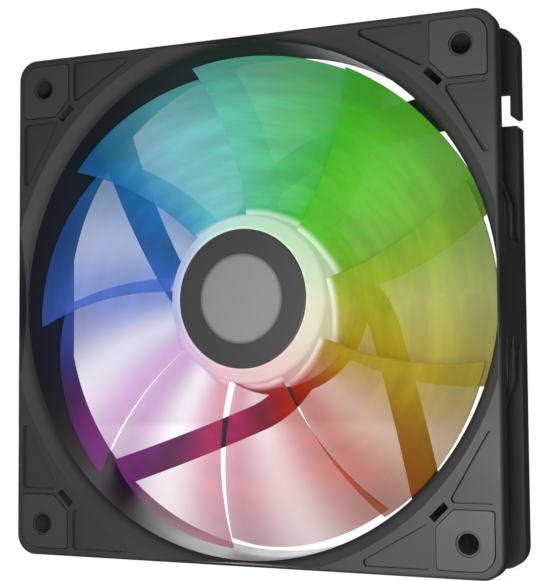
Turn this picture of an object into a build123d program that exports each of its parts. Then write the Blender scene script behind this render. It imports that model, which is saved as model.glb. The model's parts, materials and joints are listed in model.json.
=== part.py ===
from build123d import *
import math
import os

# Case fan, 120 mm square and 25 mm deep. A moulded frame carries a motor base on four struts,
# and a nine-blade translucent rotor turns on a sleeve bearing in the base.
# The origin is the centre of the fan, +Z is up, the rotor's axis is Y, and the intake side
# faces -Y. Lengths are in millimetres, angles in degrees, counter-clockwise seen from the intake.

# Envelope and mounting
SIZE = 120.0
DEPTH = 25.0
HOLE_SPACING = 105.0
HOLE_R = 2.25
PAD_PROUD = 0.25
FACE_Y = DEPTH / 2 - PAD_PROUD
CORNER_R = 4.8
FRONT_FLANGE = 4.5
REAR_FLANGE = 5.9
FRONT_EDGE_R = 0.8
REAR_EDGE_R = 1.8
INNER_EDGE_R = 0.3

# Air passage and barrel
THROAT_R = 59.0
FLARE_R = 62.1
FLARE_FLAT = 59.4
BARREL_R = 60.6
BARREL_INSET = 1.0
RIB_R = 62.85
RIB_WIDTH = 1.5
RIB_STARTS = (-6.7, -1.3)
BRIDGE_LOW = -7.1
BRIDGE_HIGH = 11.3
BRIDGE_DEEP = 2.5

# Corner details, as drawn in the corner with both coordinates positive
POCKET = ((26.8, 58.3), (44.2, 58.3), (44.2, 48.2))
POCKET_R = 0.85
POCKET_DEPTH = 1.3
PAD_FAR = 58.1
PAD_NEAR = 45.6
PAD_CHAMFER = 3.8
PAD_FAR_R = 3.9
PAD_NEAR_R = 0.8
PAD_SEAT = 1.0
PAD_GROOVE = 0.2
PAD_HOLE_R = 2.75
SCREW_RING_R = 2.65
SCREW_BOSS_R = 3.4
SCREW_BOSS_DEEP = 3.5
SLOT_CENTRE = 46.2
SLOT_LENGTH = 4.5
SLOT_WIDTH = 1.6

# Cable catch in the rear flange
CATCH_LOW = 37.5
CATCH_HIGH = 45.4
CATCH_NEAR = 53.6
FINGER_X = 58.2
FINGER_END = 39.5
CATCH_CHAMFER = 0.45
OVERCUT = 1.0

# Struts: polar angle of the outer end, heading there, width there, length and radius of the
# long sweep, and radius of the bend that runs round the motor base
STRUTS = (
    (45.5, 187.5, 8.4, 34.0, 160.0, 34.0),
    (138.0, 289.5, 7.6, 38.0, 190.0, 30.0),
    (223.5, 18.0, 6.6, 40.0, 600.0, 26.0),
    (307.9, 102.0, 6.2, 42.0, 600.0, 22.0),
)
STRUT_START_R = 60.3
STRUT_ROOT = 3.0
STRUT_INNER_WIDTH = 6.0
STRUT_BEND = 50.0
STRUT_FRONT = 8.2
CHANNEL_WIDTH = 3.0
CHANNEL_DEPTH = 2.0
CHANNEL_END = ((49.0, 43.2), (CATCH_NEAR + OVERCUT, 41.5))

# Motor base
BASE_R = 22.2
BASE_FRONT = 7.5
BASE_WALL = 1.5
BASE_FLOOR = 1.5
LEDGE_R = 19.0
LEDGE_FRONT = 9.5
BOSS_R = 6.5
BOSS_FRONT = 6.2
LABEL_R = 18.5
LABEL_RECESS = 0.3
LABEL_THICK = 0.2

# Bearing and shaft
SHAFT_R = 1.5
SHAFT_FRONT = -9.7
SHAFT_REAR = 10.25
RUN_CLEARANCE = 0.03
BEARING_R = 3.5
BEARING_FRONT = -4.6
BEARING_REAR = 9.0
TUBE_R = 4.4
TUBE_FRONT = -6.0
TUBE_REAR = 11.0
TUBE_CHAMFER = 0.25
THRUST_THICK = 0.6
SEAL_FRONT = -5.6
SEAL_THICK = 0.8
SEAL_BORE_R = 1.8
GROOVE_R = 1.1
GROOVE_Y = 9.3
GROOVE_WIDTH = 0.4
RING_R = 2.9
RING_SLIT = 0.8
SHAFT_CHAMFER = 0.3
SLINGER_R = 2.6
SLINGER_Y = -6.75
SLINGER_THICK = 0.5

# Stator
CORE_R = 15.0
CORE_SHOE_R = 12.9
CORE_RING_R = 7.0
CORE_NECK = 4.0
NECK_INSET = 1.0
CORE_FRONT = -3.6
CORE_THICK = 6.0
POLE_GAP = 3.0
INSULATOR_LAP = 0.6
INSULATOR_PLATE = 0.8
INSULATOR_WALL = 2.4
INSULATOR_OVER = 0.6
COIL_START = 7.5
COIL_LENGTH = 4.0
COIL_BUILD = 1.6

# Circuit board and what stands on it
BOARD_R = 20.4
BOARD_FRONT = 8.3
BOARD_THICK = 1.2
PIN_R = 0.35
PIN_CIRCLE_R = 13.5
PIN_ANGLE = 25.0
PIN_STICKOUT = 0.5
LED_COUNT = 8
LED_CIRCLE_R = 18.7
LED_SIZE = (2.0, 2.8, 0.9)
HALL_CIRCLE_R = 16.0
HALL_SIZE = (1.2, 3.0, 2.6)
DRIVER_CIRCLE_R = 13.0
DRIVER_SIZE = (4.0, 5.0, 1.4)
CAPACITOR_CIRCLE_R = 15.5
CAPACITOR_SIZE = (1.6, 3.2, 1.0)
RESISTOR_CIRCLE_R = 16.5
RESISTOR_SIZE = (0.8, 1.6, 0.5)

# Rotor
HUB_R = 19.4
HUB_WALL = 1.4
HUB_FACE = -11.0
HUB_SHOULDER = -8.4
HUB_REAR = 6.7
HUB_ROOF = -9.0
HUB_LIP = 0.6
HUB_SHOULDER_R = 1.6
CAP_R = 15.85
SNAP_GAP = 0.08
CAP_EDGE_R = 0.3
CAP_SEAT = -10.2
CAP_FACE = -11.1
BADGE_R = 10.2
BADGE_FACE = -11.35
BUSH_R = 3.6
BUSH_FRONT = -9.9
BUSH_REAR = -7.0
HUB_BOSS_R = 5.2
YOKE_R = 18.0
YOKE_THICK = 1.0
YOKE_REAR = 5.4
YOKE_LIP_R = 14.5
MAGNET_THICK = 1.5
MAGNET_FRONT = -6.5
MAGNET_REAR = 4.6
BLADES = 9
TIP_R = 57.0
# Blade sections from root to tip: radius, tangential width, front and rear edge depths,
# lean of the section about the axis, thickness and camber
BLADE_SECTIONS = (
    (16.6, 15.0, -6.2, 5.4, 0.0, 2.2, 1.0),
    (31.0, 27.0, -6.6, 5.8, 5.0, 1.9, 1.7),
    (44.0, 37.4, -6.5, 5.8, 10.5, 1.6, 2.2),
    (58.5, 49.0, -5.6, 5.2, 17.0, 1.3, 2.4),
)
BLADE_EDGE = 0.45
BLADE_TURN = 12.0

os.makedirs("parts", exist_ok=True)


def across(y):
    """The plane square to the axis at depth y, drawn as seen from the intake side."""
    return Plane.XZ.offset(-y)


def radial_plane(radius, angle):
    """The plane facing outward at a polar angle: its x runs counter-clockwise, its y forward."""
    c = math.cos(math.radians(angle))
    s = math.sin(math.radians(angle))
    return Plane(origin=(radius * c, 0, radius * s), x_dir=(-s, 0, c), z_dir=(c, 0, s))


def polar(radius, angle):
    """A point of a sketch square to the axis, from its polar coordinates."""
    return (radius * math.cos(math.radians(angle)), radius * math.sin(math.radians(angle)))


def corners(points):
    """An outline of the first corner, repeated in all four corners of the square."""
    return [[(a * x, b * z) for x, z in points] for a in (1, -1) for b in (1, -1)]


def turned(outer, inner, front, rear):
    """A plain disc or ring about the axis, between two depths; a disc has an inner radius of 0."""
    with BuildPart() as piece:
        with BuildSketch(across(front)):
            Circle(outer)
            if inner:
                Circle(inner, mode=Mode.SUBTRACT)
        extrude(amount=front - rear)
    return piece.part


def pad_outline(grow):
    """The corner pad's outline in the first corner, larger all round by grow."""
    near = PAD_NEAR - grow
    far = PAD_FAR + grow
    cut = PAD_CHAMFER + grow * (2 - math.sqrt(2))
    return [(near, far), (far, far), (far, near), (near + cut, near), (near, near + cut)]


def pad_sketch(y, grow):
    """The four pad outlines with their corners rounded, on the plane at depth y."""
    with BuildSketch(across(y)) as outlines:
        for outline in corners(pad_outline(grow)):
            with BuildLine():
                Polyline(*outline, close=True)
            make_face()
        reach = (PAD_FAR + PAD_NEAR) / 2
        fillet(outlines.vertices().filter_by(lambda v: min(abs(v.X), abs(v.Y)) < reach), PAD_NEAR_R)
        fillet(outlines.vertices().filter_by(lambda v: min(abs(v.X), abs(v.Y)) > reach), PAD_FAR_R + grow)
    return outlines.sketch


def strut_edges(strut, side):
    """One long edge of a strut, from inside the rim to the base; side is 1 on its left, -1 on its right."""
    rim_angle, heading, width, length, sweep_r, bend_r = strut
    x, z = polar(STRUT_START_R, rim_angle)
    taper = math.degrees(math.atan((width - STRUT_INNER_WIDTH) / 2 / length))
    across_x, across_z = polar(side * width / 2, heading + 90)
    back_x, back_z = polar(STRUT_ROOT, heading)
    start = (x + across_x, z + across_z)
    sweep_radius = sweep_r - side * width / 2
    root = Line((start[0] - back_x, start[1] - back_z), start)
    sweep = JernArc(start, polar(1, heading - side * taper), sweep_radius, math.degrees(length / sweep_r))
    bend = JernArc(sweep @ 1, sweep % 1, bend_r - side * STRUT_INNER_WIDTH / 2, STRUT_BEND)
    return root, bend


def blade_edges(section):
    """The outline of one blade section: two cambered long edges closed by two short ones."""
    radius, width, front, rear, lean, thickness, camber = section
    lead_x, lead_y = width / 2, -front
    trail_x, trail_y = -width / 2, -rear
    chord = math.hypot(lead_x - trail_x, lead_y - trail_y)
    out_x = -(lead_y - trail_y) / chord
    out_y = (lead_x - trail_x) / chord
    middle_x = (lead_x + trail_x) / 2
    middle_y = (lead_y + trail_y) / 2
    points = []
    for side in (1, -1):
        edge = side * BLADE_EDGE
        bow = camber + side * thickness / 2
        points.append([
            (trail_x + edge * out_x, trail_y + edge * out_y),
            (middle_x + bow * out_x, middle_y + bow * out_y),
            (lead_x + edge * out_x, lead_y + edge * out_y),
        ])
    upper, lower = points
    ThreePointArc(*upper)
    Line(upper[2], lower[2])
    ThreePointArc(*reversed(lower))
    Line(lower[0], upper[0])


# The frame: two square flanges joined by a round barrel, with struts and motor base
with BuildPart() as passage:
    with BuildSketch(Plane.XY):
        with BuildLine():
            flare = FLARE_R - THROAT_R
            Polyline(
                (0, -FACE_Y), (FLARE_R, -FACE_Y), (THROAT_R, flare - FACE_Y),
                (THROAT_R, FACE_Y - flare), (FLARE_R, FACE_Y), (0, FACE_Y), close=True,
            )
        make_face()
    revolve(axis=Axis.Y)
    Box(2 * FLARE_FLAT, 2 * DEPTH, 2 * FLARE_FLAT, mode=Mode.INTERSECT)

with BuildPart() as rear_flange:
    with BuildSketch(across(FACE_Y - REAR_FLANGE)):
        RectangleRounded(SIZE, SIZE, CORNER_R)
    extrude(amount=-REAR_FLANGE)
    fillet(rear_flange.faces().sort_by(Axis.Y)[-1].edges(), REAR_EDGE_R)
    fillet(rear_flange.faces().sort_by(Axis.Y)[0].edges(), INNER_EDGE_R)

with BuildPart() as frame:
    with BuildSketch(across(-FACE_Y)):
        RectangleRounded(SIZE, SIZE, CORNER_R)
    extrude(amount=-FRONT_FLANGE)
    fillet(frame.faces().sort_by(Axis.Y)[0].edges(), FRONT_EDGE_R)
    fillet(frame.faces().sort_by(Axis.Y)[-1].edges(), INNER_EDGE_R)
    add(rear_flange.part)

    # Barrel, its two ribs and the block in the middle of each side
    barrel_front = BARREL_INSET - FACE_Y
    barrel_rear = FACE_Y - REAR_FLANGE + BARREL_INSET
    with BuildSketch(across(barrel_front)):
        Circle(BARREL_R)
        Rectangle(SIZE, SIZE, mode=Mode.INTERSECT)
    extrude(amount=barrel_front - barrel_rear)
    for rib_start in RIB_STARTS:
        with BuildSketch(across(rib_start)):
            Circle(RIB_R)
            Rectangle(SIZE, SIZE, mode=Mode.INTERSECT)
        extrude(amount=-RIB_WIDTH)
    flange_back = FRONT_FLANGE - FACE_Y
    with BuildSketch(across(flange_back)):
        with PolarLocations(SIZE / 2 - BRIDGE_DEEP / 2, 4):
            with Locations((0, (BRIDGE_LOW + BRIDGE_HIGH) / 2)):
                Rectangle(BRIDGE_DEEP, BRIDGE_HIGH - BRIDGE_LOW)
    extrude(amount=flange_back - (FACE_Y - REAR_FLANGE))
    add(passage.part, mode=Mode.SUBTRACT)

    # Struts
    with BuildSketch(across(STRUT_FRONT)):
        for strut in STRUTS:
            with BuildLine():
                left_root, left_bend = strut_edges(strut, 1)
                right_root, right_bend = strut_edges(strut, -1)
                Line(left_bend @ 1, right_bend @ 1)
                Line(left_root @ 0, right_root @ 0)
            make_face()
        Circle(BASE_R)
    extrude(amount=STRUT_FRONT - FACE_Y)

    # Motor base: a shallow cup with a boss for the bearing tube and a ledge for the board
    add(turned(BASE_R, 0, BASE_FRONT, FACE_Y))
    add(turned(BASE_R - BASE_WALL, 0, BASE_FRONT, FACE_Y - BASE_FLOOR), mode=Mode.SUBTRACT)
    add(turned(BASE_R - BASE_WALL, LEDGE_R, LEDGE_FRONT, FACE_Y - BASE_FLOOR))
    add(turned(BOSS_R, 0, BOSS_FRONT, FACE_Y))
    add(turned(TUBE_R, 0, BOSS_FRONT, TUBE_REAR), mode=Mode.SUBTRACT)
    add(turned(LABEL_R, 0, FACE_Y - LABEL_RECESS, FACE_Y), mode=Mode.SUBTRACT)

    # Wire channel along the first strut's rear face, from the motor base to the cable catch
    with BuildSketch(across(FACE_Y - CHANNEL_DEPTH)):
        rim_angle, heading, width, length, sweep_r, bend_r = STRUTS[0]
        with BuildLine():
            run = JernArc(polar(STRUT_START_R, rim_angle), polar(1, heading), sweep_r,
                          math.degrees(length / sweep_r))
            JernArc(run @ 1, run % 1, bend_r, STRUT_BEND / 2)
            Polyline(run @ 0, *CHANNEL_END)
        trace(line_width=CHANNEL_WIDTH)
    extrude(amount=-CHANNEL_DEPTH, mode=Mode.SUBTRACT)

    # Corner pockets, a boss behind each front screw hole, pad seats with a ring round each
    # screw hole, anchor slots and the holes
    with BuildSketch(across(-FACE_Y)) as pockets:
        mirrored = [(z, x) for x, z in POCKET]
        for outline in corners(POCKET) + corners(mirrored):
            with BuildLine():
                Polyline(*outline, close=True)
            make_face()
        fillet(pockets.vertices(), POCKET_R)
    extrude(amount=-POCKET_DEPTH, mode=Mode.SUBTRACT)
    with BuildSketch(across(flange_back)):
        with GridLocations(HOLE_SPACING, HOLE_SPACING, 2, 2):
            Circle(SCREW_BOSS_R)
    extrude(amount=-SCREW_BOSS_DEEP)
    for face, inward in ((-FACE_Y, -1), (FACE_Y, 1)):
        extrude(pad_sketch(face, PAD_GROOVE), amount=inward * PAD_SEAT, mode=Mode.SUBTRACT)
        with BuildSketch(across(face)):
            with GridLocations(HOLE_SPACING, HOLE_SPACING, 2, 2):
                Circle(SCREW_RING_R)
        extrude(amount=inward * PAD_SEAT)
    for face, through in ((-FACE_Y, FRONT_FLANGE), (FACE_Y - REAR_FLANGE, REAR_FLANGE)):
        with BuildSketch(across(face)):
            for a, b in ((1, 1), (-1, 1), (-1, -1), (1, -1)):
                with Locations((a * SLOT_CENTRE, b * SLOT_CENTRE)):
                    Rectangle(SLOT_LENGTH, SLOT_WIDTH, rotation=-45 * a * b)
        extrude(amount=-through, mode=Mode.SUBTRACT)
    with BuildSketch(across(-FACE_Y)):
        with GridLocations(HOLE_SPACING, HOLE_SPACING, 2, 2):
            Circle(HOLE_R)
    extrude(amount=-2 * FACE_Y, mode=Mode.SUBTRACT)

    # Cable catch: a slot in the rear flange behind a hanging finger, open to the side below it
    with BuildSketch(across(FACE_Y - REAR_FLANGE)):
        with BuildLine():
            Polyline(
                (CATCH_NEAR, CATCH_LOW), (SIZE / 2 - CATCH_CHAMFER, CATCH_LOW),
                (SIZE / 2, CATCH_LOW - CATCH_CHAMFER), (SIZE / 2 + OVERCUT, CATCH_LOW - CATCH_CHAMFER),
                (SIZE / 2 + OVERCUT, FINGER_END), (FINGER_X + CATCH_CHAMFER, FINGER_END),
                (FINGER_X, FINGER_END + CATCH_CHAMFER), (FINGER_X, CATCH_HIGH),
                (CATCH_NEAR, CATCH_HIGH), close=True,
            )
        make_face()
    extrude(amount=-REAR_FLANGE, mode=Mode.SUBTRACT)
frame.part.label = "frame"
export_step(frame.part, "parts/frame.step")

# Soft pads in the eight corner seats, each with a clear hole around its screw
for name, face, outward in (("front_pads", -FACE_Y, -1), ("rear_pads", FACE_Y, 1)):
    with BuildPart() as pads:
        extrude(pad_sketch(face + outward * PAD_PROUD, 0), amount=outward * (PAD_SEAT + PAD_PROUD))
        with BuildSketch(across(face + outward * PAD_PROUD)):
            with GridLocations(HOLE_SPACING, HOLE_SPACING, 2, 2):
                Circle(PAD_HOLE_R)
        extrude(amount=outward * (PAD_SEAT + PAD_PROUD), mode=Mode.SUBTRACT)
    pads.part.label = name
    export_step(pads.part, f"parts/{name}.step")

# Blank label in the rear recess
with BuildPart() as rear_label:
    add(turned(LABEL_R - PAD_GROOVE, 0, FACE_Y - LABEL_RECESS, FACE_Y - LABEL_RECESS + LABEL_THICK))
rear_label.part.label = "rear_label"
export_step(rear_label.part, "parts/rear_label.step")

# Bearing: a tube in the boss, with the sleeve, a seal and a thrust plate inside it
with BuildPart() as bearing_tube:
    add(turned(TUBE_R, BEARING_R, TUBE_FRONT, TUBE_REAR))
    chamfer(bearing_tube.edges().group_by(Axis.Y)[0].sort_by(SortBy.RADIUS)[-1], TUBE_CHAMFER)
bearing_tube.part.label = "bearing_tube"
export_step(bearing_tube.part, "parts/bearing_tube.step")

with BuildPart() as sleeve_bearing:
    add(turned(BEARING_R, SHAFT_R + RUN_CLEARANCE, BEARING_FRONT, BEARING_REAR))
    chamfer(sleeve_bearing.edges().group_by(Axis.Y)[0], TUBE_CHAMFER)
    chamfer(sleeve_bearing.edges().group_by(Axis.Y)[-1], TUBE_CHAMFER)
sleeve_bearing.part.label = "sleeve_bearing"
export_step(sleeve_bearing.part, "parts/sleeve_bearing.step")

with BuildPart() as oil_seal:
    add(turned(BEARING_R, SEAL_BORE_R, SEAL_FRONT, SEAL_FRONT + SEAL_THICK))
oil_seal.part.label = "oil_seal"
export_step(oil_seal.part, "parts/oil_seal.step")

with BuildPart() as thrust_plate:
    add(turned(BEARING_R, 0, TUBE_REAR - THRUST_THICK, TUBE_REAR))
thrust_plate.part.label = "thrust_plate"
export_step(thrust_plate.part, "parts/thrust_plate.step")

# Stator: a four-pole core on the bearing tube, between two insulators, with a coil on each neck
core_rear = CORE_FRONT + CORE_THICK
with BuildPart() as stator_core:
    with BuildSketch(across(CORE_FRONT)):
        Circle(CORE_R)
        Circle(CORE_SHOE_R, mode=Mode.SUBTRACT)
        with PolarLocations(CORE_R, 4, start_angle=45):
            Rectangle(CORE_R, POLE_GAP, mode=Mode.SUBTRACT)
        with PolarLocations(CORE_R / 2, 4):
            Rectangle(CORE_R - NECK_INSET, CORE_NECK)
        Circle(CORE_RING_R)
        Circle(TUBE_R, mode=Mode.SUBTRACT)
    extrude(amount=-CORE_THICK)
stator_core.part.label = "stator_core"
export_step(stator_core.part, "parts/stator_core.step")

wall_inner_r = CORE_SHOE_R - INSULATOR_LAP
wall_outer_r = CORE_R - INSULATOR_LAP
insulator_neck = CORE_NECK + 2 * INSULATOR_OVER
for name, face, outward in (("insulator_front", CORE_FRONT, -1), ("insulator_rear", core_rear, 1)):
    with BuildPart() as insulator:
        with BuildSketch(across(face)):
            Circle(wall_outer_r)
            Circle(wall_inner_r, mode=Mode.SUBTRACT)
            with PolarLocations(CORE_R, 4, start_angle=45):
                Rectangle(CORE_R, 2 * POLE_GAP, mode=Mode.SUBTRACT)
            Circle(CORE_RING_R)
            Circle(TUBE_R, mode=Mode.SUBTRACT)
        extrude(amount=-outward * INSULATOR_WALL)
        with BuildSketch(across(face)):
            with PolarLocations((CORE_RING_R + wall_outer_r) / 2 - NECK_INSET, 4):
                Rectangle(wall_outer_r - CORE_RING_R, insulator_neck)
        extrude(amount=-outward * INSULATOR_PLATE)
    insulator.part.label = name
    export_step(insulator.part, f"parts/{name}.step")

with BuildPart() as coils:
    for quarter in range(4):
        with BuildSketch(radial_plane(COIL_START, 90 * quarter)) as turns:
            with Locations((0, -(CORE_FRONT + core_rear) / 2)):
                opening = CORE_THICK + 2 * INSULATOR_PLATE
                RectangleRounded(insulator_neck + 2 * COIL_BUILD, opening + 2 * COIL_BUILD, COIL_BUILD)
                Rectangle(insulator_neck, opening, mode=Mode.SUBTRACT)
        extrude(amount=COIL_LENGTH)
coils.part.label = "coils"
export_step(coils.part, "parts/coils.step")

# Circuit board and its parts
board_rear = BOARD_FRONT + BOARD_THICK
pin_angles = [PIN_ANGLE + 90 * quarter for quarter in range(4)]
with BuildPart() as circuit_board:
    add(turned(BOARD_R, BOSS_R + PAD_GROOVE, BOARD_FRONT, board_rear))
    with BuildSketch(across(BOARD_FRONT)):
        for angle in pin_angles:
            with Locations(polar(PIN_CIRCLE_R, angle)):
                Circle(PIN_R)
    extrude(amount=-BOARD_THICK, mode=Mode.SUBTRACT)
circuit_board.part.label = "circuit_board"
export_step(circuit_board.part, "parts/circuit_board.step")

with BuildPart() as winding_pins:
    with BuildSketch(across(core_rear + INSULATOR_WALL)):
        for angle in pin_angles:
            with Locations(polar(PIN_CIRCLE_R, angle)):
                Circle(PIN_R)
    extrude(amount=-(board_rear + PIN_STICKOUT - core_rear - INSULATOR_WALL))
winding_pins.part.label = "winding_pins"
export_step(winding_pins.part, "parts/winding_pins.step")

# Node, size across and along the circle, height, circle radius, polar angles and board side
BOARD_PARTS = (
    ("leds", LED_SIZE, LED_CIRCLE_R, [360 / LED_COUNT * (n + 0.5) for n in range(LED_COUNT)], -1),
    ("hall_sensor", HALL_SIZE, HALL_CIRCLE_R, [45.0], -1),
    ("driver_chip", DRIVER_SIZE, DRIVER_CIRCLE_R, [225.0], -1),
    ("capacitors", CAPACITOR_SIZE, CAPACITOR_CIRCLE_R, [110.0, 130.0, 290.0], 1),
    ("resistors", RESISTOR_SIZE, RESISTOR_CIRCLE_R, [150.0, 165.0, 180.0, 195.0, 320.0, 335.0], 1),
)
for name, size, circle_r, angles, side in BOARD_PARTS:
    across_size, along_size, height = size
    mounting_face = BOARD_FRONT if side < 0 else board_rear
    with BuildPart() as chips:
        with BuildSketch(across(mounting_face)):
            for angle in angles:
                with Locations(Location((*polar(circle_r, angle), 0), angle)):
                    Rectangle(across_size, along_size)
        extrude(amount=-side * height)
    chips.part.label = name
    export_step(chips.part, f"parts/{name}.step")

# Rotor: hub cup with nine blades
with BuildPart() as blade:
    for section in BLADE_SECTIONS:
        with BuildSketch(radial_plane(section[0], section[4])):
            with BuildLine():
                blade_edges(section)
            make_face()
    loft()
    add(turned(TIP_R, HUB_R - HUB_WALL / 2, -DEPTH / 2, DEPTH / 2), mode=Mode.INTERSECT)

with BuildPart() as impeller:
    with BuildSketch(Plane.XY) as cup:
        with BuildLine():
            Polyline(
                (0, CAP_SEAT), (CAP_R + SNAP_GAP, CAP_SEAT), (CAP_R + SNAP_GAP, HUB_FACE),
                (CAP_R + HUB_LIP, HUB_FACE), (HUB_R, HUB_SHOULDER), (HUB_R, HUB_REAR),
                (HUB_R - HUB_WALL, HUB_REAR), (HUB_R - HUB_WALL, HUB_ROOF), (HUB_BOSS_R, HUB_ROOF),
                (HUB_BOSS_R, BUSH_REAR), (0, BUSH_REAR), close=True,
            )
        make_face()
        fillet(cup.vertices().filter_by(lambda v: v.X > HUB_R - 1 and v.Y < 0), HUB_SHOULDER_R)
    revolve(axis=Axis.Y)
    for turn in range(BLADES):
        add(blade.part.rotate(Axis.Y, BLADE_TURN + 360 / BLADES * turn))
    add(turned(BUSH_R, 0, BUSH_FRONT, BUSH_REAR), mode=Mode.SUBTRACT)
impeller.part.label = "impeller"
export_step(impeller.part, "parts/impeller.step")

with BuildPart() as hub_cap:
    add(turned(CAP_R, 0, CAP_FACE, CAP_SEAT))
    fillet(hub_cap.faces().sort_by(Axis.Y)[0].edges(), CAP_EDGE_R)
hub_cap.part.label = "hub_cap"
export_step(hub_cap.part, "parts/hub_cap.step")

with BuildPart() as hub_badge:
    add(turned(BADGE_R, 0, BADGE_FACE, CAP_FACE))
hub_badge.part.label = "hub_badge"
export_step(hub_badge.part, "parts/hub_badge.step")

with BuildPart() as yoke:
    add(turned(YOKE_R, YOKE_R - YOKE_THICK, HUB_ROOF, YOKE_REAR))
    add(turned(YOKE_R, YOKE_LIP_R, HUB_ROOF, HUB_ROOF + YOKE_THICK))
yoke.part.label = "yoke"
export_step(yoke.part, "parts/yoke.step")

magnet_r = YOKE_R - YOKE_THICK
with BuildPart() as magnet_ring:
    add(turned(magnet_r, magnet_r - MAGNET_THICK, MAGNET_FRONT, MAGNET_REAR))
magnet_ring.part.label = "magnet_ring"
export_step(magnet_ring.part, "parts/magnet_ring.step")

with BuildPart() as shaft:
    add(turned(SHAFT_R, 0, SHAFT_FRONT, SHAFT_REAR))
    add(turned(SHAFT_R, GROOVE_R, GROOVE_Y, GROOVE_Y + GROOVE_WIDTH), mode=Mode.SUBTRACT)
    chamfer(shaft.faces().sort_by(Axis.Y)[0].edges(), SHAFT_CHAMFER)
    fillet(shaft.faces().sort_by(Axis.Y)[-1].edges(), SHAFT_CHAMFER)
shaft.part.label = "shaft"
export_step(shaft.part, "parts/shaft.step")

with BuildPart() as shaft_bush:
    add(turned(BUSH_R, SHAFT_R, BUSH_FRONT, BUSH_REAR))
shaft_bush.part.label = "shaft_bush"
export_step(shaft_bush.part, "parts/shaft_bush.step")

with BuildPart() as oil_slinger:
    add(turned(SLINGER_R, SHAFT_R, SLINGER_Y, SLINGER_Y + SLINGER_THICK))
oil_slinger.part.label = "oil_slinger"
export_step(oil_slinger.part, "parts/oil_slinger.step")

with BuildPart() as retaining_ring:
    add(turned(RING_R, GROOVE_R, GROOVE_Y, GROOVE_Y + GROOVE_WIDTH))
    with BuildSketch(across(GROOVE_Y)):
        with Locations((RING_R, 0)):
            Rectangle(2 * RING_R, RING_SLIT)
    extrude(amount=-GROOVE_WIDTH, mode=Mode.SUBTRACT)
retaining_ring.part.label = "retaining_ring"
export_step(retaining_ring.part, "parts/retaining_ring.step")
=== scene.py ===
import json
import math

import bpy
from mathutils import Matrix, Vector


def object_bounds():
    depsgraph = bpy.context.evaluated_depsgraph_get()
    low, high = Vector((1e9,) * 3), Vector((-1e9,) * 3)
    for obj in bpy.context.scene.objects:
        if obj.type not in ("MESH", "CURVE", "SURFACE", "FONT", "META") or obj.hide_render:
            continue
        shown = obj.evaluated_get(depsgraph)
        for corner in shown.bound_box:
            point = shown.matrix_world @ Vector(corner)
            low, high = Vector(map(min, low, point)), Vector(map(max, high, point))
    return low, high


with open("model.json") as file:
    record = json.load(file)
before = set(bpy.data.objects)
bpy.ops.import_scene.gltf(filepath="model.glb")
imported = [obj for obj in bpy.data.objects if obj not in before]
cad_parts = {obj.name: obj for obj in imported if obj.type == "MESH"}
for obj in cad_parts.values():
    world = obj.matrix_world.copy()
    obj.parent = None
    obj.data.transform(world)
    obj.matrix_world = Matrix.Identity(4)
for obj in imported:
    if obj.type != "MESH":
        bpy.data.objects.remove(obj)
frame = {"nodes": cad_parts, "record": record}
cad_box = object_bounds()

# A 120 mm case fan seen from its intake side. Lengths are in metres, and angles about the rotor's
# axis run counter-clockwise from +X as seen from the intake side. The CAD nodes keep their shapes;
# this script gives them materials and sets the studio and the camera.

MM = 0.001
NODES = frame["nodes"]
RECORD = frame["record"]

# Radii of the CAD that the materials follow
HUB_R = 19.4 * MM
THROAT_R = 59.0 * MM
TIP_R = 57.0 * MM
LABEL_R = 18.3 * MM
BADGE_R = 10.2 * MM
WIRE_PITCH = 0.3 * MM

# The blades, and the turn of the first blade's middle line at its root and at its tip
BLADES = 9
BLADE_ROOT_TURN = -11.5 / 360
BLADE_TIP_TURN = 4.5 / 360

# Radii between which the blades' own light dims, and distances beyond the hub's wall between
# which its paleness ends
FADE_START_R = 43.0 * MM
FADE_END_R = 56.5 * MM
HUB_PALE_END = 2.0 * MM
HUB_PALE_FULL = 0.3 * MM

# The throat's wall is painted with a faint glow of the rotor's light between these two depths
WALL_PAINTED_GLOW_FROM = -9.5 * MM
WALL_PAINTED_GLOW_FULL = 6.0 * MM

BLACK = (0.0, 0.0, 0.0, 1.0)
LABEL_GREY = (0.035, 0.035, 0.036)

# The painted light round the rotor: angle in degrees, linear colour of the painted glow and
# tint, and how much of what is behind a blade shows through it there
BLADE_LIGHT = (
    (0, (0.30, 0.34, 0.010), 0.07),
    (20, (0.14, 0.35, 0.012), 0.03),
    (40, (0.08, 0.42, 0.008), 0.012),
    (60, (0.04, 0.41, 0.010), 0.015),
    (80, (0.07, 0.44, 0.160), 0.03),
    (100, (0.11, 0.47, 0.380), 0.04),
    (120, (0.09, 0.42, 0.480), 0.07),
    (140, (0.01, 0.16, 0.420), 0.24),
    (160, (0.03, 0.13, 0.470), 0.25),
    (180, (0.05, 0.13, 0.540), 0.29),
    (195, (0.09, 0.09, 0.460), 0.48),
    (210, (0.42, 0.06, 0.480), 0.58),
    (230, (0.36, 0.05, 0.360), 0.58),
    (250, (0.52, 0.04, 0.160), 0.52),
    (270, (0.40, 0.02, 0.070), 0.42),
    (285, (0.40, 0.01, 0.010), 0.40),
    (300, (0.40, 0.03, 0.000), 0.27),
    (315, (0.37, 0.12, 0.000), 0.22),
    (330, (0.34, 0.22, 0.005), 0.11),
    (345, (0.35, 0.30, 0.010), 0.07),
    (360, (0.30, 0.34, 0.010), 0.07),
)

# The surround's strength for everything but the camera
SURROUND_LIGHT = 0.13

# Soft lights: name, place, target, size in metres and power in watts. The key stands close in
# front of the lower right corner, so its light falls off across the face.
STUDIO_LIGHTS = (
    ("key", (0.055, -0.165, -0.040), (0.03, 0, -0.02), 0.10, 0.62),
    ("fill", (-0.45, -0.60, -0.02), (0, 0, 0), 0.40, 0.5),
    ("top", (0.05, 0.05, 0.70), (0, 0, 0), 0.50, 0.35),
    ("back", (-0.35, 0.60, 0.30), (0, 0, 0), 0.50, 7.0),
)

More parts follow.
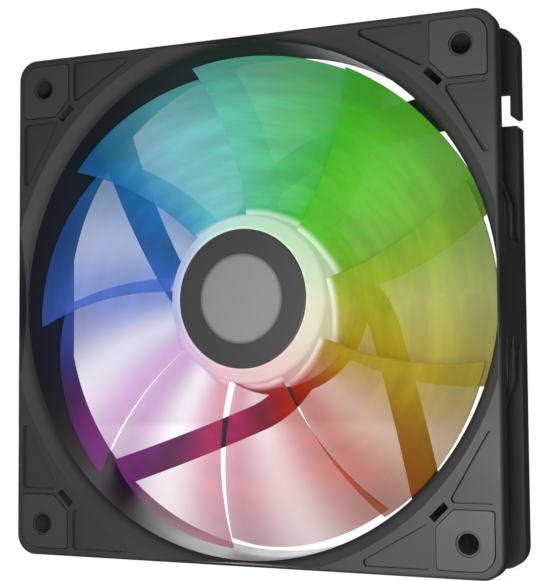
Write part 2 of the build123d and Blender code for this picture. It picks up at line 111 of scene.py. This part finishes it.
# The camera's place, its turns in degrees and its focal length in millimetres
CAMERA_PLACE = (130.6 * MM, -281.9 * MM, -16.3 * MM)
CAMERA_YAW = 24.33
CAMERA_PITCH = 3.44
CAMERA_ROLL = -0.39
CAMERA_LENS = 82.35


class Shader:
    """A material's node tree, with short calls for the nodes that this scene uses."""

    def __init__(self, name):
        self.material = bpy.data.materials.new(name)
        self.material.use_nodes = True
        self.tree = self.material.node_tree
        self.principled = self.tree.nodes["Principled BSDF"]

    def node(self, kind, **settings):
        made = self.tree.nodes.new("ShaderNode" + kind)
        for key, value in settings.items():
            setattr(made, key, value)
        return made

    def feed(self, socket, value):
        """Links an output socket into an input, or sets the input's value."""
        if isinstance(value, bpy.types.NodeSocket):
            self.tree.links.new(value, socket)
        else:
            socket.default_value = value

    def math(self, operation, *values, use_clamp=False):
        made = self.node("Math", operation=operation, use_clamp=use_clamp)
        for socket, value in zip(made.inputs, values):
            self.feed(socket, value)
        return made.outputs[0]

    def ranged(self, value, low, high, to_low=0.0, to_high=1.0, smooth=True):
        made = self.node("MapRange", interpolation_type="SMOOTHSTEP" if smooth else "LINEAR")
        for socket, number in zip(made.inputs, (value, low, high, to_low, to_high)):
            self.feed(socket, number)
        return made.outputs[0]

    def mix(self, factor, a, b, blend="MIX"):
        made = self.node("Mix", data_type="RGBA", blend_type=blend)
        self.feed(made.inputs[0], factor)
        self.feed(made.inputs[6], a)
        self.feed(made.inputs[7], b)
        return made.outputs[2]

    def mix_number(self, factor, a, b):
        made = self.node("Mix", data_type="FLOAT")
        self.feed(made.inputs[0], factor)
        self.feed(made.inputs[2], a)
        self.feed(made.inputs[3], b)
        return made.outputs[0]

    def ramp(self, value, stops):
        made = self.node("ValToRGB")
        elements = made.color_ramp.elements
        while len(elements) > 1:
            elements.remove(elements[-1])
        for index, (place, colour) in enumerate(stops):
            element = elements[0] if index == 0 else elements.new(place)
            element.position = place
            element.color = (*colour, 1.0)
        self.feed(made.inputs[0], value)
        return made.outputs[0]

    def noise(self, vector, scale, detail=2.0, roughness=0.5):
        made = self.node("TexNoise")
        self.feed(made.inputs["Vector"], vector)
        made.inputs["Scale"].default_value = scale
        made.inputs["Detail"].default_value = detail
        made.inputs["Roughness"].default_value = roughness
        return made.outputs[0]

    def bump(self, height, strength, distance):
        made = self.node("Bump")
        made.inputs["Strength"].default_value = strength
        made.inputs["Distance"].default_value = distance
        self.feed(made.inputs["Height"], height)
        self.feed(self.principled.inputs["Normal"], made.outputs[0])

    def place(self):
        """The shaded point in the row frame."""
        return self.node("NewGeometry").outputs["Position"]

    def own_place(self):
        """The shaded point in the piece's own coordinates, which turn with it."""
        return self.node("TexCoord").outputs["Object"]

    def split(self, vector):
        """The x, y and z of a vector."""
        made = self.node("SeparateXYZ")
        self.feed(made.inputs[0], vector)
        return made.outputs

    def join(self, x, y=0.0):
        """A vector with this x and y."""
        made = self.node("CombineXYZ")
        self.feed(made.inputs[0], x)
        self.feed(made.inputs[1], y)
        return made.outputs[0]

    def length(self, a, b):
        """The length of two sides at a right angle."""
        return self.math("SQRT", self.math("ADD", self.math("POWER", a, 2.0), self.math("POWER", b, 2.0)))

    def polar(self, vector):
        """Radius and turn, from 0 to 1 counter-clockwise from +X, about the rotor's axis."""
        x, _, z = self.split(vector)
        turn = self.math("FRACT", self.math("DIVIDE", self.math("ARCTAN2", z, x), 2 * math.pi))
        return self.length(x, z), turn

    def band(self, value, low, high, soft_low, soft_high):
        """1 from low to high, with soft edges of these widths beyond them."""
        return self.math("MULTIPLY", self.ranged(value, low - soft_low, low),
                         self.ranged(value, high + soft_high, high))

    def set(self, **values):
        """Sets the shader's own sockets: base, rough, metal, specular and so on."""
        names = {"base": "Base Color", "rough": "Roughness", "metal": "Metallic", "alpha": "Alpha",
                 "specular": "Specular IOR Level", "glow": "Emission Color",
                 "glow_strength": "Emission Strength"}
        for key, value in values.items():
            if isinstance(value, tuple) and len(value) == 3:
                value = (*value, 1.0)
            self.feed(self.principled.inputs[names[key]], value)


def light_colour(shader, turn):
    """The colour of the painted light at a turn about the axis."""
    return shader.ramp(turn, [(angle / 360, colour) for angle, colour, _ in BLADE_LIGHT])


def moulded(name, colour, rough, grain=1.0, tone=0.12):
    """Dull moulded plastic: fine spark-eroded grain, faint mottling of tone and of gloss."""
    shader = Shader(name)
    place = shader.place()
    fine = shader.noise(place, scale=5200.0, detail=3.0, roughness=0.6)
    broad = shader.noise(place, scale=55.0, detail=3.0, roughness=0.55)
    dark = tuple(c * (1 - tone) for c in colour)
    light = tuple(c * (1 + tone) for c in colour)
    shader.set(base=shader.mix(broad, (*dark, 1), (*light, 1)))
    shader.set(rough=shader.ranged(broad, 0.3, 0.7, to_low=rough - 0.04, to_high=rough + 0.05))
    shader.bump(fine, strength=0.16 * grain, distance=0.04 * MM)
    return shader


def frame_material():
    """The frame's dark plastic; the throat's wall is painted darker as shade, and glows faintly with painted
    light in the rotor's colours.
    """
    shader = moulded("frame_plastic", (0.033, 0.033, 0.034), 0.56)
    plastic = shader.principled.inputs["Base Color"].links[0].from_socket
    radius, turn = shader.polar(shader.place())
    wall = shader.band(radius, THROAT_R - 0.1 * MM, THROAT_R + 0.1 * MM, 0.5 * MM, 1.5 * MM)
    depth = shader.split(shader.place())[1]
    lit = shader.math("MULTIPLY", wall, shader.ranged(depth, WALL_PAINTED_GLOW_FROM, WALL_PAINTED_GLOW_FULL))
    # Painted shade: the throat's wall is darker than the rest of the frame
    shader.set(base=shader.mix(wall, plastic, (0.010, 0.010, 0.010, 1)), specular=0.25)
    # Painted light: the throat's wall glows faintly in the rotor's colours, more with depth
    shader.set(glow=light_colour(shader, turn), glow_strength=shader.math("MULTIPLY", lit, 0.03))
    return shader.material


def rotor_material():
    """Frosted plastic with painted light from the hub: glow and tint pale at the hub, coloured by angle along
    the blades.
    """
    shader = Shader("rotor_plastic")
    radius, turn = shader.polar(shader.place())
    own_radius, own_turn = shader.polar(shader.own_place())
    painted_light_hue = light_colour(shader, turn)

    # Streaks in the painted glow: fine across the radius, long round the axis
    across = shader.math("MULTIPLY", own_radius, 260.0)
    along = shader.math("MULTIPLY", own_turn, 14.0)
    streak = shader.noise(shader.join(across, along), scale=1.0, detail=4.0, roughness=0.6)
    painted_glow_streaks = shader.ranged(streak, 0.35, 0.68, to_low=0.86, to_high=1.14)

    # A blade lets more through along its middle line than near its long edges
    lean = shader.ranged(own_radius, HUB_R, TIP_R, to_low=BLADE_ROOT_TURN * BLADES,
                         to_high=BLADE_TIP_TURN * BLADES, smooth=False)
    blade_turn = shader.math("SUBTRACT", shader.math("MULTIPLY", own_turn, BLADES), lean)
    from_edge = shader.math("ABSOLUTE", shader.math("SUBTRACT", shader.math("FRACT", blade_turn), 0.5))
    thin = shader.ranged(from_edge, 0.0, 0.5, to_low=0.80, to_high=1.18)

    # The painted glow is pale at the hub and dims towards the tips; the base takes a painted tint of the
    # light's colour
    near_hub = shader.ranged(radius, HUB_R + HUB_PALE_END, HUB_R + HUB_PALE_FULL)
    pale = shader.mix(1.0, (0.26, 0.27, 0.26, 1), shader.mix(0.38, painted_light_hue, BLACK), blend="ADD")
    painted_glow_fade = shader.ranged(radius, FADE_START_R, FADE_END_R, to_low=1.0, to_high=0.50)
    strength = shader.math("MULTIPLY", shader.math("MULTIPLY", painted_glow_streaks, painted_glow_fade), 0.82)
    # Painted light: the blades glow in the light's colour, pale at the hub
    shader.set(glow=shader.mix(near_hub, painted_light_hue, pale), glow_strength=shader.mix_number(near_hub, strength, 1.0))
    # Painted light: the base colour is tinted with the light's colour, pale grey at the hub
    light_tinted_base = shader.mix(0.75, painted_light_hue, (0.005, 0.005, 0.005, 1))
    shader.set(base=shader.mix(near_hub, light_tinted_base, (0.20, 0.20, 0.20, 1)), rough=0.55, specular=0.08)

    # A blade has two faces, so each face lets through the square root of what the blade does
    face_clear = shader.ramp(turn, [(angle / 360, (clear ** 0.5,) * 3) for angle, _, clear in BLADE_LIGHT])
    solid = shader.math("SUBTRACT", 1.0, shader.math("MULTIPLY", face_clear, thin), use_clamp=True)
    shader.set(alpha=shader.mix_number(near_hub, solid, 1.0))
    return shader.material


def plain(name, colour, rough, metal=0.0):
    """A material with a slight mottling of its tone and gloss, for small pieces."""
    shader = Shader(name)
    broad = shader.noise(shader.place(), scale=700.0, detail=2.0, roughness=0.5)
    low = tuple(c * 0.92 for c in colour)
    shader.set(base=shader.mix(broad, (*low, 1), (*colour, 1)), metal=metal)
    shader.set(rough=shader.ranged(broad, 0.3, 0.7, to_low=rough - 0.05, to_high=rough + 0.05))
    return shader.material


def label_material():
    """A blank satin label with a pale ring just inside its edge."""
    shader = moulded("label_film", LABEL_GREY, rough=0.34, grain=0.15)
    radius, _ = shader.polar(shader.place())
    ring = shader.band(radius, LABEL_R - 1.5 * MM, LABEL_R - 1.2 * MM, 0.1 * MM, 0.1 * MM)
    shader.set(base=shader.mix(ring, (*LABEL_GREY, 1), (0.30, 0.30, 0.31, 1)))
    return shader.material


def badge_material():
    """Satin grey, faintly turned about the axis, with its rim painted darker as shade."""
    shader = Shader("badge_metal")
    radius, _ = shader.polar(shader.place())
    rings = shader.math("MULTIPLY", radius, 9000.0)
    turned = shader.noise(shader.join(rings), scale=1.0, detail=2.0, roughness=0.5)
    # Painted shade: the base grey darkens towards the rim
    rim_painted_shade = shader.ranged(radius, BADGE_R - 0.9 * MM, BADGE_R - 0.2 * MM)
    shader.set(base=shader.mix(rim_painted_shade, (0.165, 0.165, 0.168, 1), (0.09, 0.09, 0.092, 1)))
    shader.set(rough=shader.ranged(turned, 0.3, 0.7, to_low=0.40, to_high=0.52), specular=0.4)
    shader.bump(turned, strength=0.12, distance=0.02 * MM)
    return shader.material


def winding_material():
    """Enamelled copper wire, laid turn beside turn round each coil, with painted shade between the turns."""
    shader = Shader("copper_wire")
    radius, _ = shader.polar(shader.place())
    strands = shader.math("SINE", shader.math("MULTIPLY", radius, 2 * math.pi / WIRE_PITCH))
    # Painted shade: the wire is darker in the creases between turns and brighter on their crowns
    painted_crease_shade = shader.ranged(strands, -1.0, 1.0)
    shader.set(base=shader.mix(painted_crease_shade, (0.20, 0.06, 0.02, 1), (0.62, 0.24, 0.10, 1)))
    shader.set(rough=0.3, metal=1.0)
    shader.bump(strands, strength=0.6, distance=0.1 * MM)
    return shader.material


MATERIALS = {
    "frame_plastic": frame_material(),
    "pad_rubber": moulded("pad_rubber", (0.034, 0.034, 0.035), 0.62, grain=1.4).material,
    "cap_plastic": moulded("cap_plastic", (0.019, 0.019, 0.020), 0.55).material,
    "label_film": label_material(),
    "brass": plain("brass", (0.72, 0.52, 0.22), 0.28, metal=1.0),
    "bearing_bronze": plain("bearing_bronze", (0.42, 0.27, 0.13), 0.45, metal=1.0),
    "seal_rubber": plain("seal_rubber", (0.02, 0.02, 0.02), 0.7),
    "wear_plastic": plain("wear_plastic", (0.72, 0.70, 0.62), 0.45),
    "core_steel": plain("core_steel", (0.35, 0.36, 0.38), 0.4, metal=1.0),
    "bobbin_plastic": plain("bobbin_plastic", (0.68, 0.66, 0.58), 0.5),
    "copper_wire": winding_material(),
    "solder_metal": plain("solder_metal", (0.72, 0.72, 0.73), 0.25, metal=1.0),
    "board_laminate": plain("board_laminate", (0.80, 0.82, 0.80), 0.35),
    "chip_resin": plain("chip_resin", (0.02, 0.02, 0.021), 0.5),
    "led_lens": plain("led_lens", (0.9, 0.88, 0.7), 0.2),
    "capacitor_ceramic": plain("capacitor_ceramic", (0.45, 0.32, 0.2), 0.4),
    "rotor_plastic": rotor_material(),
    "badge_metal": badge_material(),
    "yoke_steel": plain("yoke_steel", (0.55, 0.55, 0.57), 0.35, metal=1.0),
    "ferrite": plain("ferrite", (0.05, 0.048, 0.045), 0.55),
    "shaft_steel": plain("shaft_steel", (0.75, 0.75, 0.77), 0.18, metal=1.0),
}
for entry in RECORD["subparts"]:
    for material_slot in NODES[entry["node"]].material_slots:
        material_slot.material = MATERIALS[entry["material_slot"]]


def soft_light(name, place, target, size, power):
    """A soft square light at a place, turned to a target; the camera doesn't see it."""
    data = bpy.data.lights.new(name, "AREA")
    data.size = size
    data.energy = power
    lamp = bpy.data.objects.new(name, data)
    bpy.context.collection.objects.link(lamp)
    lamp.location = place
    lamp.rotation_euler = (Vector(target) - Vector(place)).to_track_quat("-Z", "Y").to_euler()
    lamp.visible_camera = False


def world_light():
    """A surround that the camera sees as white, and that lights the fan only faintly."""
    world = bpy.data.worlds.new("studio")
    bpy.context.scene.world = world
    world.use_nodes = True
    tree = world.node_tree
    background = tree.nodes["Background"]
    path = tree.nodes.new("ShaderNodeLightPath")
    level = tree.nodes.new("ShaderNodeMapRange")
    tree.links.new(path.outputs["Is Camera Ray"], level.inputs[0])
    level.inputs["To Min"].default_value = SURROUND_LIGHT
    level.inputs["To Max"].default_value = 1.0
    tree.links.new(level.outputs[0], background.inputs["Strength"])
    background.inputs["Color"].default_value = (1, 1, 1, 1)


def paper_floor():
    """A white floor at the fan's lowest point, a shade darker close to the fan."""
    bpy.ops.mesh.primitive_plane_add(size=12.0, location=(0, 0, cad_box[0][2]))
    floor = bpy.context.object
    floor.name = "floor"
    shader = Shader("floor_paper")
    place = shader.place()
    grain = shader.noise(place, scale=900.0, detail=2.0, roughness=0.5)
    shader.set(base=shader.mix(grain, (0.07, 0.07, 0.07, 1), (0.08, 0.08, 0.08, 1)), rough=0.9, specular=0.0)
    x, y, _ = shader.split(place)
    glow = shader.ranged(shader.length(x, y), 0.08, 0.60, to_low=0.975, to_high=1.0)
    shader.set(glow=(1.0, 1.0, 1.0), glow_strength=glow)
    floor.data.materials.append(shader.material)
    floor.visible_diffuse = False
    floor.visible_glossy = False


def camera():
    """The camera, in front and to the right of the fan, a little below its centre."""
    data = bpy.data.cameras.new("camera")
    data.lens = CAMERA_LENS
    data.clip_start = 0.01
    eye = bpy.data.objects.new("camera", data)
    bpy.context.collection.objects.link(eye)
    yaw, pitch, roll = (math.radians(angle) for angle in (CAMERA_YAW, CAMERA_PITCH, CAMERA_ROLL))
    ahead = Vector((-math.sin(yaw) * math.cos(pitch), math.cos(yaw) * math.cos(pitch), math.sin(pitch)))
    turn = ahead.to_track_quat("-Z", "Y").to_matrix().to_4x4() @ Matrix.Rotation(roll, 4, "Z")
    eye.matrix_world = Matrix.Translation(CAMERA_PLACE) @ turn
    bpy.context.scene.camera = eye


camera()
world_light()
paper_floor()
for light in STUDIO_LIGHTS:
    soft_light(*light)
bpy.context.scene.view_settings.view_transform = "Standard"
